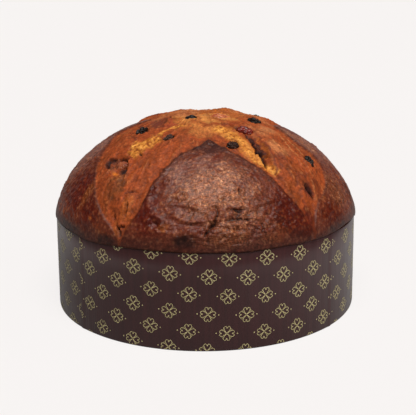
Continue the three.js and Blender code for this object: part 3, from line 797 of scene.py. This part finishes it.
def crust_corners(crust, detail):
    """The crust's corners, raised along the dome's normals and led to the rim's line."""
    height = main_relief(crust) + detail + fruit_beds(crust)
    to_rim = smooth(RIM_FADES_FROM, DOME_ARC, crust.arc)
    bulging = smooth(RIM_FADES_FROM - BULGE_REACH, DOME_ARC - BULGE_REACH / 4, crust.arc)
    height = height * (1 - to_rim) + rim_bulge(crust.azimuth) * bulging
    corners = crust.points + crust.normals * height[:, None]
    corners[:, 2] += (rim_height(crust.azimuth) - DOME_FOOT) * to_rim
    return corners


def body_rings(azimuth):
    """Radii and heights of the rings below the crust, over the case's rim and inside the case."""
    rim = rim_height(azimuth)
    inner = CASE_RADIUS - CASE_CLEARANCE
    return [
        (DOME_RADIUS - RIM_UNDERCUT + rim_bulge(azimuth) * 0.6, rim - RIM_THICKNESS),
        (CASE_RADIUS + RIM_OVERHANG, np.maximum(rim, CASE_HEIGHT + RIM_GAP)),
        (inner, CASE_HEIGHT + INNER_GAP),
        (inner - 1, LOAF_BOTTOM),
    ]


def add_body(corners, faces):
    """Closes the loaf below the crust."""
    around = 6 * RINGS
    azimuth = 360 * np.arange(around) / around
    above = first_of(RINGS)
    for radius, level in body_rings(azimuth):
        below = len(corners)
        corners = np.concatenate([corners, round_axis(radius, np.radians(azimuth), level)])
        for n in range(around):
            m = (n + 1) % around
            faces.append((above + n, below + n, below + m, above + m))
        above = below
    bottom = len(corners)
    faces.extend((bottom, above + (n + 1) % around, above + n) for n in range(around))
    return np.concatenate([corners, [[0, 0, LOAF_BOTTOM]]])


def write_colour(loaf, colour):
    """Keeps the crust's colours on the mesh, and the dough's on the rest of it."""
    corners = len(loaf.data.vertices)
    rgba = np.ones((corners, 4))
    rgba[:, :3] = tinted("skin")
    rgba[:len(colour), :3] = colour
    shade = loaf.data.color_attributes.new("albedo", "FLOAT_COLOR", "POINT")
    shade.data.foreach_set("color", rgba.ravel())


def write_mask(loaf, name, crust_values):
    values = np.zeros(len(loaf.data.vertices), np.float32)
    values[:len(crust_values)] = crust_values
    loaf.data.attributes.new(name, "FLOAT", "POINT").data.foreach_set("value", values)


def build_loaf():
    crust = crust_grid()
    measure_fields(crust)
    detail = crease_relief(crust) + wrinkle_relief(crust) + crumb_relief(crust)
    corners = add_body(crust_corners(crust, detail), crust.faces)
    loaf = new_object("crust", corners, crust.faces)
    petal = smooth(-0.5, 0.7, crust.in_petal)
    write_colour(loaf, crust_colour(crust, -detail))
    write_mask(loaf, "petal", petal)
    write_mask(loaf, "speckled", speckled(crust))
    write_mask(loaf, "wrinkled", petal * low_on_petals(crust))
    return loaf


# Materials


def feed(tree, node, inputs):
    """Gives a node's inputs their values, or other nodes' sockets to read."""
    for name, source in inputs.items():
        if isinstance(source, bpy.types.NodeSocket):
            tree.links.new(source, node.inputs[name])
        else:
            node.inputs[name].default_value = source
    return node


def add_node(tree, kind, inputs=None, **settings):
    node = tree.nodes.new("ShaderNode" + kind)
    for name, value in settings.items():
        setattr(node, name, value)
    return feed(tree, node, inputs or {})


def new_material(name):
    material = bpy.data.materials.new(name)
    material.use_nodes = True
    return material, material.node_tree


def shade(tree, inputs):
    feed(tree, tree.nodes["Principled BSDF"], inputs)


def noise_node(tree, scale, detail, stretch=(1, 1, 1)):
    """Object-space noise, its scale in waves to the metre."""
    place = add_node(tree, "TexCoord").outputs["Object"]
    mapped = add_node(tree, "Mapping", {"Vector": place, "Scale": stretch}).outputs["Vector"]
    return add_node(tree, "TexNoise", {"Vector": mapped, "Scale": scale, "Detail": detail}).outputs["Fac"]


def ramp_node(tree, source, stops):
    """Greys or colours, the latter as RRGGBB, at their positions along a value."""
    ramp = add_node(tree, "ValToRGB", {"Fac": source})
    elements = ramp.color_ramp.elements
    while len(elements) < len(stops):
        elements.new(0.5)
    for element, (position, value) in zip(elements, stops):
        element.position = position
        element.color = (*linear(value), 1) if isinstance(value, str) else (value, value, value, 1)
    return ramp.outputs["Color"]


def range_node(tree, source, given, wanted):
    """A value carried over from one range to another."""
    ends = dict(zip(("From Min", "From Max", "To Min", "To Max"), (*given, *wanted)))
    return add_node(tree, "MapRange", {"Value": source, **ends}).outputs["Result"]


def mix_node(tree, kind, share, first, second):
    inputs = {"Factor": share, "A": first, "B": second}
    return add_node(tree, "Mix", inputs, data_type="RGBA", blend_type=kind).outputs["Result"]


def math_node(tree, operation, *terms):
    return add_node(tree, "Math", dict(enumerate(terms)), operation=operation).outputs["Value"]


def mask_node(tree, name):
    return add_node(tree, "Attribute", attribute_name=name).outputs["Fac"]


def bumps(tree, layers):
    """The normal input for a shader, from several (height, distance in millimetres) layers."""
    normal = {}
    for height, distance in layers:
        bump = add_node(tree, "Bump", {"Height": height, "Strength": 1, "Distance": distance * MM, **normal})
        normal = {"Normal": bump.outputs["Normal"]}
    return normal


def speckled_albedo(tree):
    """The painted crust with fine specks, stronger where the petals are speckled."""
    albedo = add_node(tree, "VertexColor", layer_name="albedo").outputs["Color"]
    speck = noise_node(tree, 1000, 3)
    skin_speck = ramp_node(tree, speck, [(0.34, 0.78), (0.5, 1.0), (0.66, 1.25)])
    petal_speck = ramp_node(tree, speck, [(0.36, 0.6), (0.5, 0.92), (0.62, 1.55)])
    speckle = mix_node(tree, "MIX", mask_node(tree, "speckled"), skin_speck, petal_speck)
    return mix_node(tree, "MULTIPLY", 1, albedo, speckle)


def crust_bumps(tree):
    """Wrinkles low on the petals, with pebbles and grit all over."""
    folds = noise_node(tree, 300, 3, stretch=(0.45, 0.45, 1.6))
    wrinkles = math_node(tree, "MULTIPLY", folds, mask_node(tree, "wrinkled"))
    pebble = noise_node(tree, 260, 2)
    grit = noise_node(tree, 700, 5)
    return bumps(tree, [(wrinkles, 1.6), (pebble, 0.3), (grit, 0.3)])


def crust_material():
    material, tree = new_material("baked_crust")
    rough = range_node(tree, mask_node(tree, "petal"), (0, 1), (0.66, 0.4))
    look = {"Base Color": speckled_albedo(tree), "Roughness": rough, "Specular IOR Level": 0.27}
    shade(tree, look | crust_bumps(tree))
    return material


def raisin_material(name, dark, middle, light):
    material, tree = new_material(name)
    colour = ramp_node(tree, noise_node(tree, 420, 4), [(0.35, dark), (0.6, middle), (0.75, light)])
    grit = bumps(tree, [(noise_node(tree, 900, 4), 0.35)])
    shade(tree, {"Base Color": colour, "Roughness": 0.42, "Specular IOR Level": 0.25} | grit)
    return material


def peel_material(name, dark, light):
    material, tree = new_material(name)
    colour = ramp_node(tree, noise_node(tree, 300, 4), [(0.35, dark), (0.65, light)])
    look = {"Base Color": colour, "Roughness": 0.35, "Subsurface Weight": 0.15,
            "Subsurface Radius": (0.003, 0.001, 0.0005)}
    shade(tree, look | bumps(tree, [(noise_node(tree, 600, 4), 0.3)]))
    return material


def paper_material():
    material, tree = new_material("case_paper")
    flow = noise_node(tree, 420, 3, stretch=(1, 1, 0.03))
    colour = ramp_node(tree, flow, [(0.3, "391B1C"), (0.7, "432021")])
    ripple = noise_node(tree, 170, 2, stretch=(1, 1, 0.02))
    fibre = noise_node(tree, 700, 3, stretch=(1, 1, 0.1))
    look = {"Base Color": colour, "Roughness": 0.38, "Coat Weight": 1.0, "Coat Roughness": 0.22}
    shade(tree, look | bumps(tree, [(ripple, 0.35), (fibre, 0.03)]))
    return material


def print_material():
    material, tree = new_material("case_print")
    colour = ramp_node(tree, noise_node(tree, 500, 3), [(0.3, "C0B480"), (0.7, "D8CA98")])
    shade(tree, {"Base Color": colour, "Roughness": 0.45})
    return material


# Fruit

RAISIN_LIFT = 0.6
RAISIN_WRINKLING = 0.28
BROWN_RAISINS = (3, 4, 9)
PEEL_LIFT = (0.5, 0.4, 2.0, 0.3)
PEEL_WRINKLING = 0.14
PEEL_RIBS = 1.8
FRUIT_WARP = 0.25
FRUIT_SEED_STEP = 0.37


def wrinkled_ball(corners, seed, ribs, depth):
    """A ball's corners drawn in along creases."""
    warped = corners + FRUIT_WARP * np.stack([grain(corners, 0.7, seed + n) for n in (1, 2, 3)], -1)
    creases = np.abs(grain(warped * [ribs, 1, ribs], 0.55, seed))
    reach = 1 - depth + depth * np.minimum(creases * 2.6, 1) + 0.08 * grain(corners, 0.9, seed + 5)
    return corners * reach[:, None]


def fruit_piece(name, node, fruit, ribs, depth, lift):
    """A wrinkled piece of fruit where its solid is."""
    place, size, turn = fruit
    bpy.ops.mesh.primitive_ico_sphere_add(subdivisions=5, radius=1)
    piece = bpy.context.object
    piece.name = name
    ball = np.array([corner.co for corner in piece.data.vertices])
    shaped = wrinkled_ball(ball, place[0] * FRUIT_SEED_STEP, ribs, depth) * np.array(size) / 2
    low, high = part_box(node)
    middle = (low + high) / 2 / MM
    _, normal = on_dome(np.array([place[0]]), np.array([place[1]]))
    upright = Vector((0, 0, 1)).rotation_difference(Vector(normal[0])).to_matrix()
    turned = Matrix.Rotation(math.radians(turn), 3, "Z")
    placed = shaped @ np.array(upright @ turned).T + np.array(middle) + normal[0] * lift
    piece.data.vertices.foreach_set("co", (placed * MM).ravel())
    piece.data.polygons.foreach_set("use_smooth", [True] * len(piece.data.polygons))
    piece.data.update()
    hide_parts(node)
    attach(piece, "root")
    return piece


def add_raisins():
    black = raisin_material("black_raisin", "140C08", "22150F", "40281C")
    brown = raisin_material("brown_raisin", "2A1914", "442A20", "6A4A3C")
    for n, fruit in enumerate(RAISINS, 1):
        piece = fruit_piece(f"baked_raisin_{n}", f"raisin_{n}", fruit, 1, RAISIN_WRINKLING, RAISIN_LIFT)
        piece.data.materials.append(brown if n in BROWN_RAISINS else black)


def add_peel():
    orange = peel_material("orange_peel", "A8502C", "D07A4C")
    dark_red = peel_material("dark_red_peel", "4A0D06", "7E1E0C")
    red = peel_material("red_peel", "7A3820", "A65C3A")
    for n, (fruit, finish, lift) in enumerate(zip(PEEL, [orange, dark_red, red, orange], PEEL_LIFT), 1):
        ribs = PEEL_RIBS if finish is orange else 1
        piece = fruit_piece(f"peel_{n}", f"candied_peel_{n}", fruit, ribs, PEEL_WRINKLING, lift)
        piece.data.materials.append(finish)


# The paper case

CASE_RADIUS = 107.5
CASE_FLARE = 1.0
CASE_HEIGHT = 65
CASE_WALL = 1.0
CASE_FLOOR = 1.2
PAPER_SINK = 0.15
FLUTES = 330
FLUTE_DEPTH = 0.012
SAMPLES_A_FLUTE = 6
FRONT_SEAM = 50
REAR_SEAM = 178
SEAM_LIFT = 0.45
SEAM_STEP = 0.02
CURL_LENGTH = 8
CURL_TIP = 2.4

# The wall's outside, from its foot up over the rim: height, and offset from the fluted radius

OUTER_WALL = [
    (0.0, -0.9), (0.15, -0.4), (0.5, -0.1), (1.0, 0.0), (16, 0), (32, 0), (48, 0), (64.6, 0.0), (65.0, -0.3),
    (65.0, -0.8), (64.5, -CASE_WALL),
]

# The wall's inside, down to the floor: height, and inset from the plain radius

INNER_WALL = [(CASE_FLOOR + 2.5, CASE_WALL), (CASE_FLOOR, CASE_WALL + 1.2)]


def plain_radius(height):
    """The case's outer radius, which flares towards the foot."""
    return CASE_RADIUS + CASE_FLARE * (1 - height / CASE_HEIGHT)


def curl(to_seam):
    """How far a strip's end has lifted, by the degrees left to its seam."""
    return 1 - 0.3 * smooth(0, CURL_LENGTH, to_seam) - 0.7 * smooth(0, CURL_TIP, to_seam)


def case_radius(azimuth, height):
    """The outer radius of the fluted paper, with the strips' lifted ends."""
    front = np.where(np.abs(azimuth) <= FRONT_SEAM, curl(FRONT_SEAM - np.abs(azimuth)), 0)
    right = np.where((azimuth > FRONT_SEAM) & (azimuth <= REAR_SEAM), curl(REAR_SEAM - azimuth), 0)
    flute = FLUTE_DEPTH * np.cos(np.radians(azimuth) * FLUTES)
    return plain_radius(height) - PAPER_SINK + SEAM_LIFT * (front + right) + flute


def case_azimuths():
    """Where the case's mesh has columns: along the flutes and at either side of each seam."""
    even = np.linspace(-180, 180, FLUTES * SAMPLES_A_FLUTE, endpoint=False)
    seams = [seam + step for seam in (-FRONT_SEAM, FRONT_SEAM, REAR_SEAM) for step in (-SEAM_STEP, SEAM_STEP)]
    return np.sort(np.concatenate([even, seams]))


def build_case():
    azimuth = case_azimuths()
    turn = np.radians(azimuth)
    rows = [round_axis(case_radius(azimuth, height) + offset, turn, height) for height, offset in OUTER_WALL]
    rows += [round_axis(plain_radius(height) - inset, turn, height) for height, inset in INNER_WALL]
    around = len(azimuth)
    faces = []
    for a in range(0, (len(rows) - 1) * around, around):
        for n in range(around):
            m = (n + 1) % around
            faces.append((a + n, a + m, a + m + around, a + n + around))
    corners = np.concatenate(rows + [[[0, 0, 0], [0, 0, CASE_FLOOR]]])
    under, inside = len(corners) - 2, len(corners) - 1
    last = under - around
    for n in range(around):
        m = (n + 1) % around
        faces.append((under, m, n))
        faces.append((inside, last + n, last + m))
    return new_object("fluted_case", corners, faces)


# The printed ornament: four heart outlines in a cross, leaf ticks between them and a dot on either side

LINE_WIDTH = 0.37
TICK_WIDTH = 0.15
HALF_HEART = [
    (0.15, 0.25), (0.95, 1.2), (1.6, 2.1), (2.05, 3.15), (1.9, 4.1), (1.15, 4.7), (0.5, 4.4), (0.22, 3.8),
    (0.2, 3.2),
]
TICKS = [(45, 2.9, 4.3), (37, 3.7, 4.4), (53, 3.7, 4.4)]
DOT_OUT = 6.7
DOT_RADIUS = 0.45
COLUMN_PITCH = 12.1
ROW_PITCH = 24.3
PRINT_LIFT = 0.09
PRINT_BOTTOM = 0.6
PRINT_TOP = CASE_HEIGHT - 0.2
SEAM_MARGIN = 0.1
ORNAMENT_REACH = (7, 6)

# For each strip: azimuths of its ends, where one ornament lies, rows' slope and curve, and columns' lean

STRIPS = [
    dict(ends=(-FRONT_SEAM, FRONT_SEAM), anchor=(1.0, 24.9), slope=-0.068, curve=0.00034, lean=0.035),
    dict(ends=(FRONT_SEAM, REAR_SEAM), anchor=(114.2, 33.5), slope=-0.03, curve=0.0, lean=0.035),
    dict(ends=(REAR_SEAM, 360 - FRONT_SEAM), anchor=(562.7, 38.3), slope=0.0, curve=0.0, lean=0.16),
]


def ribbon(points, width):
    """Quads along a line in the plane."""
    points = np.asarray(points, float)
    way = np.gradient(points, axis=0)
    way /= np.linalg.norm(way, axis=1)[:, None]
    side = np.stack([-way[:, 1], way[:, 0]], -1) * width / 2
    left, right = points + side, points - side
    return [[left[n], right[n], right[n + 1], left[n + 1]] for n in range(len(points) - 1)]


def spin(turn):
    return np.array([[math.cos(turn), -math.sin(turn)], [math.sin(turn), math.cos(turn)]])


def dot(middle):
    spots = [2 * math.pi * n / 8 for n in range(8)]
    return [np.array([middle + DOT_RADIUS * math.cos(s), DOT_RADIUS * math.sin(s)]) for s in spots]


def ornament():
    """The ornament's flat polygons, across and up from its middle."""
    polygons = []
    half = spline(HALF_HEART, 22)
    for quarter in range(4):
        turn = math.radians(90 * quarter)
        for side in (1, -1):
            polygons += ribbon((half * [side, 1]) @ spin(turn).T, LINE_WIDTH)
        for angle, start, end in TICKS:
            lean = math.radians(angle) + turn
            way = np.array([math.cos(lean), math.sin(lean)])
            polygons += ribbon([way * start, way * (start + end) / 2, way * end], TICK_WIDTH)
    return polygons + [dot(DOT_OUT), dot(-DOT_OUT)]


def ornament_places(strip):
    """Middles of the ornaments on a strip, as the way round the case and the height."""
    scale = math.radians(1) * CASE_RADIUS
    low, high = (end * scale for end in strip["ends"])
    u0, z0 = strip["anchor"]
    beside, above = ORNAMENT_REACH
    places = []
    for column in range(-24, 25):
        across = column * COLUMN_PITCH
        for row in range(-5, 6):
            rise = row * ROW_PITCH + (ROW_PITCH / 2 if column % 2 else 0)
            z = z0 + rise + strip["slope"] * across + strip["curve"] * across ** 2
            u = u0 + across + strip["lean"] * rise
            if low - beside < u < high + beside and -above < z < CASE_HEIGHT + above:
                places.append((u, z))
    return places


def fits_on(strip, azimuth, height):
    """Whether a polygon lies wholly on its strip, clear of the foot and the rim."""
    first, last = strip["ends"]
    on_strip = azimuth.min() >= first + SEAM_MARGIN and azimuth.max() <= last - SEAM_MARGIN
    return on_strip and height.min() >= PRINT_BOTTOM and height.max() <= PRINT_TOP


def build_print():
    polygons = ornament()
    corners, faces = [], []
    for strip in STRIPS:
        for u, z in ornament_places(strip):
            tilt = strip["slope"] + 2 * strip["curve"] * (u - strip["anchor"][0])
            for polygon in polygons:
                across, height = (np.array(polygon) @ spin(tilt).T + [u, z]).T
                azimuth = across * math.degrees(1) / CASE_RADIUS
                if fits_on(strip, azimuth, height):
                    radius = case_radius(turn_between(0, azimuth), height) + PRINT_LIFT
                    faces.append(tuple(range(len(corners), len(corners) + len(polygon))))
                    corners.extend(round_axis(radius, np.radians(azimuth), height).tolist())
    return new_object("ornament_print", corners, faces, smooth_shading=False)


# Stage, lights and camera

BACKGROUND = linear("F7F4F3")
KEY_AZIMUTH = 8
KEY_ELEVATION = 64
KEY_STRENGTH = 3.3
KEY_SPREAD = 46
KEY_COLOUR = (1, 0.965, 0.92)
FILL_AZIMUTH = 82
FILL_ELEVATION = 12
FILL_DISTANCE = 2000
FILL_SIZE = (1000, 600)
FILL_POWER = 9.0
FILL_AIM_HEIGHT = 70
WORLD_FRONT = 0.05
WORLD_BACK = 0.5
BACK_SPAN = (0.68, 0.98)  # how far to the back a direction points, where the surround brightens
FLOOR_SIZE = 60000
FLOOR_CATCH = 0.12  # the share of the floor's brightness that light and shadow make
KEY_ON_FLOOR = KEY_STRENGTH * math.sin(math.radians(KEY_ELEVATION)) / math.pi
FLOOR_GLOW = 1.0 - FLOOR_CATCH * (WORLD_FRONT + KEY_ON_FLOOR)
DARK_GLOW = (0.09, 0.34)  # the floor's mirrored glow, near its dark line and far off
DARK_LINE = -60
DARK_SPAN = (100, 300)
CAMERA_DISTANCE = 605
CAMERA_AIM_HEIGHT = 50
CAMERA_ELEVATION = 16.392
CAMERA_PITCH = 15.080
CAMERA_YAW = 0.187
CAMERA_ROLL = 0.433
CAMERA_LENS = 70.96


def camera_ray(tree):
    return add_node(tree, "LightPath").outputs["Is Camera Ray"]


def mirrored_glow(tree):
    """The floor's glow in mirrored light: dim before the loaf, brighter to either side."""
    place = add_node(tree, "TexCoord").outputs["Object"]
    parts = add_node(tree, "SeparateXYZ", {"Vector": place})
    aside = math_node(tree, "ABSOLUTE", math_node(tree, "SUBTRACT", parts.outputs["X"], DARK_LINE * MM))
    near, far = DARK_SPAN
    return range_node(tree, aside, (near * MM, far * MM), DARK_GLOW)


def add_floor():
    """A pale floor, nearly even to the camera and darker to the light that it throws back."""
    bpy.ops.mesh.primitive_plane_add(size=FLOOR_SIZE * MM)
    floor = bpy.context.object
    floor.name = "floor"
    material, tree = new_material("floor_white")
    glow = range_node(tree, camera_ray(tree), (0, 1), (mirrored_glow(tree), FLOOR_GLOW))
    shade(tree, {"Base Color": (*(BACKGROUND * FLOOR_CATCH), 1), "Roughness": 1, "Specular IOR Level": 0,
                 "Emission Color": (*BACKGROUND, 1), "Emission Strength": glow})
    floor.data.materials.append(material)


def add_world():
    """A white surround, dimmer in front of the loaf than behind it, and even to the camera."""
    world = bpy.data.worlds.new("surround")
    bpy.context.scene.world = world
    world.use_nodes = True
    tree = world.node_tree
    place = add_node(tree, "TexCoord").outputs["Generated"]
    parts = add_node(tree, "SeparateXYZ", {"Vector": place})
    depth = range_node(tree, parts.outputs["Y"], BACK_SPAN, (WORLD_FRONT, WORLD_BACK))
    seen = add_node(tree, "Mix", {"Factor": camera_ray(tree), "A": depth, "B": 1}, data_type="FLOAT")
    feed(tree, tree.nodes["Background"], {"Color": (*BACKGROUND, 1), "Strength": seen.outputs["Result"]})


def new_lamp(name, kind, azimuth, elevation, power):
    """A light that shines from a direction, and the direction."""
    lamp = bpy.data.objects.new(name, bpy.data.lights.new(name, kind))
    lamp.data.energy = power
    bpy.context.scene.collection.objects.link(lamp)
    turn, rise = math.radians(azimuth), math.radians(elevation)
    way = Vector((math.sin(turn) * math.cos(rise), -math.cos(turn) * math.cos(rise), math.sin(rise)))
    lamp.rotation_euler = way.to_track_quat("Z", "Y").to_euler()
    return lamp, way


def add_key_light():
    lamp, _ = new_lamp("key_light", "SUN", KEY_AZIMUTH, KEY_ELEVATION, KEY_STRENGTH)
    lamp.data.angle = math.radians(KEY_SPREAD)
    lamp.data.color = KEY_COLOUR


def add_right_fill():
    """A broad soft light from the right that nothing mirrors."""
    lamp, way = new_lamp("right_fill", "AREA", FILL_AZIMUTH, FILL_ELEVATION, FILL_POWER)
    lamp.data.shape = "RECTANGLE"
    lamp.data.size, lamp.data.size_y = (side * MM for side in FILL_SIZE)
    lamp.visible_glossy = False
    lamp.location = (Vector((0, 0, FILL_AIM_HEIGHT)) + way * FILL_DISTANCE) * MM


def add_camera():
    elevation, pitch, yaw, roll = (
        math.radians(angle) for angle in (CAMERA_ELEVATION, CAMERA_PITCH, CAMERA_YAW, CAMERA_ROLL))
    look = Vector((math.sin(yaw) * math.cos(pitch), math.cos(yaw) * math.cos(pitch), -math.sin(pitch)))
    level = Vector((math.cos(yaw), -math.sin(yaw), 0))
    upright = level.cross(look)
    right = level * math.cos(roll) - upright * math.sin(roll)
    up = level * math.sin(roll) + upright * math.cos(roll)
    data = bpy.data.cameras.new("camera")
    data.lens = CAMERA_LENS
    data.clip_end = 100
    camera = bpy.data.objects.new("camera", data)
    bpy.context.scene.collection.objects.link(camera)
    back, rise = CAMERA_DISTANCE * math.cos(elevation), CAMERA_DISTANCE * math.sin(elevation)
    place = Vector((0, -back, CAMERA_AIM_HEIGHT + rise)) * MM
    turned = Matrix((right, up, -look)).transposed()
    camera.matrix_world = Matrix.Translation(place) @ turned.to_4x4()
    bpy.context.scene.camera = camera


# Everything together

loaf = build_loaf()
loaf.data.materials.append(crust_material())
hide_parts("loaf")
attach(loaf, "root")

add_raisins()
add_peel()

case = build_case()
case.data.materials.append(paper_material())
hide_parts("paper_case")
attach(case, "root")

ornaments = build_print()
ornaments.data.materials.append(print_material())
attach(ornaments, "root")

add_floor()
add_world()
add_key_light()
add_right_fill()
add_camera()
bpy.context.scene.view_settings.view_transform = "Standard"
